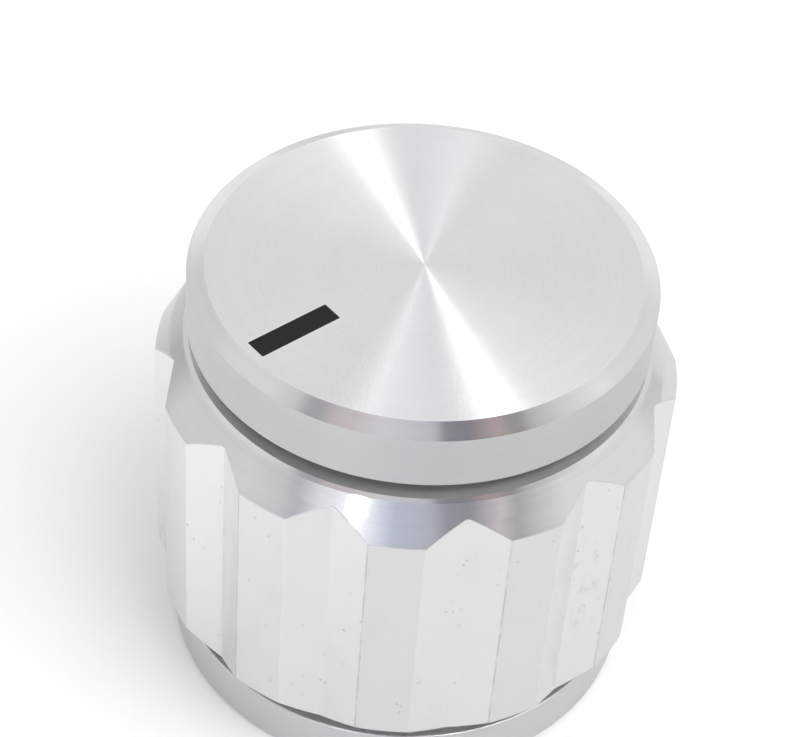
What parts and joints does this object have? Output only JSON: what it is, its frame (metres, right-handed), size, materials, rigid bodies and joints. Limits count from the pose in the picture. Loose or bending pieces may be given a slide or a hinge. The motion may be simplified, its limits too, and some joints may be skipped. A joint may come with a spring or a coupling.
{
  "type": "control knob",
  "caption": "Small fluted aluminium control knob with a grooved cap, a black pointer line, a blind shaft bore and a set screw in its side.",
  "frame": {"origin": "centre of the base ring's lower face, on the shaft axis", "axes": "+Z along the shaft axis from the base to the top face, -Y towards the pointer line"},
  "size_m": [0.0158, 0.0158, 0.0148],
  "materials": {
    "turned_aluminium": "satin, with bright turned chamfers",
    "pointer_paint": "matt black paint",
    "screw_steel": "blackened"
  },
  "bodies": {
    "root": {"knob_body": "turned_aluminium", "pointer_line": "pointer_paint", "set_screw": "screw_steel"}
  },
  "joints": []
}
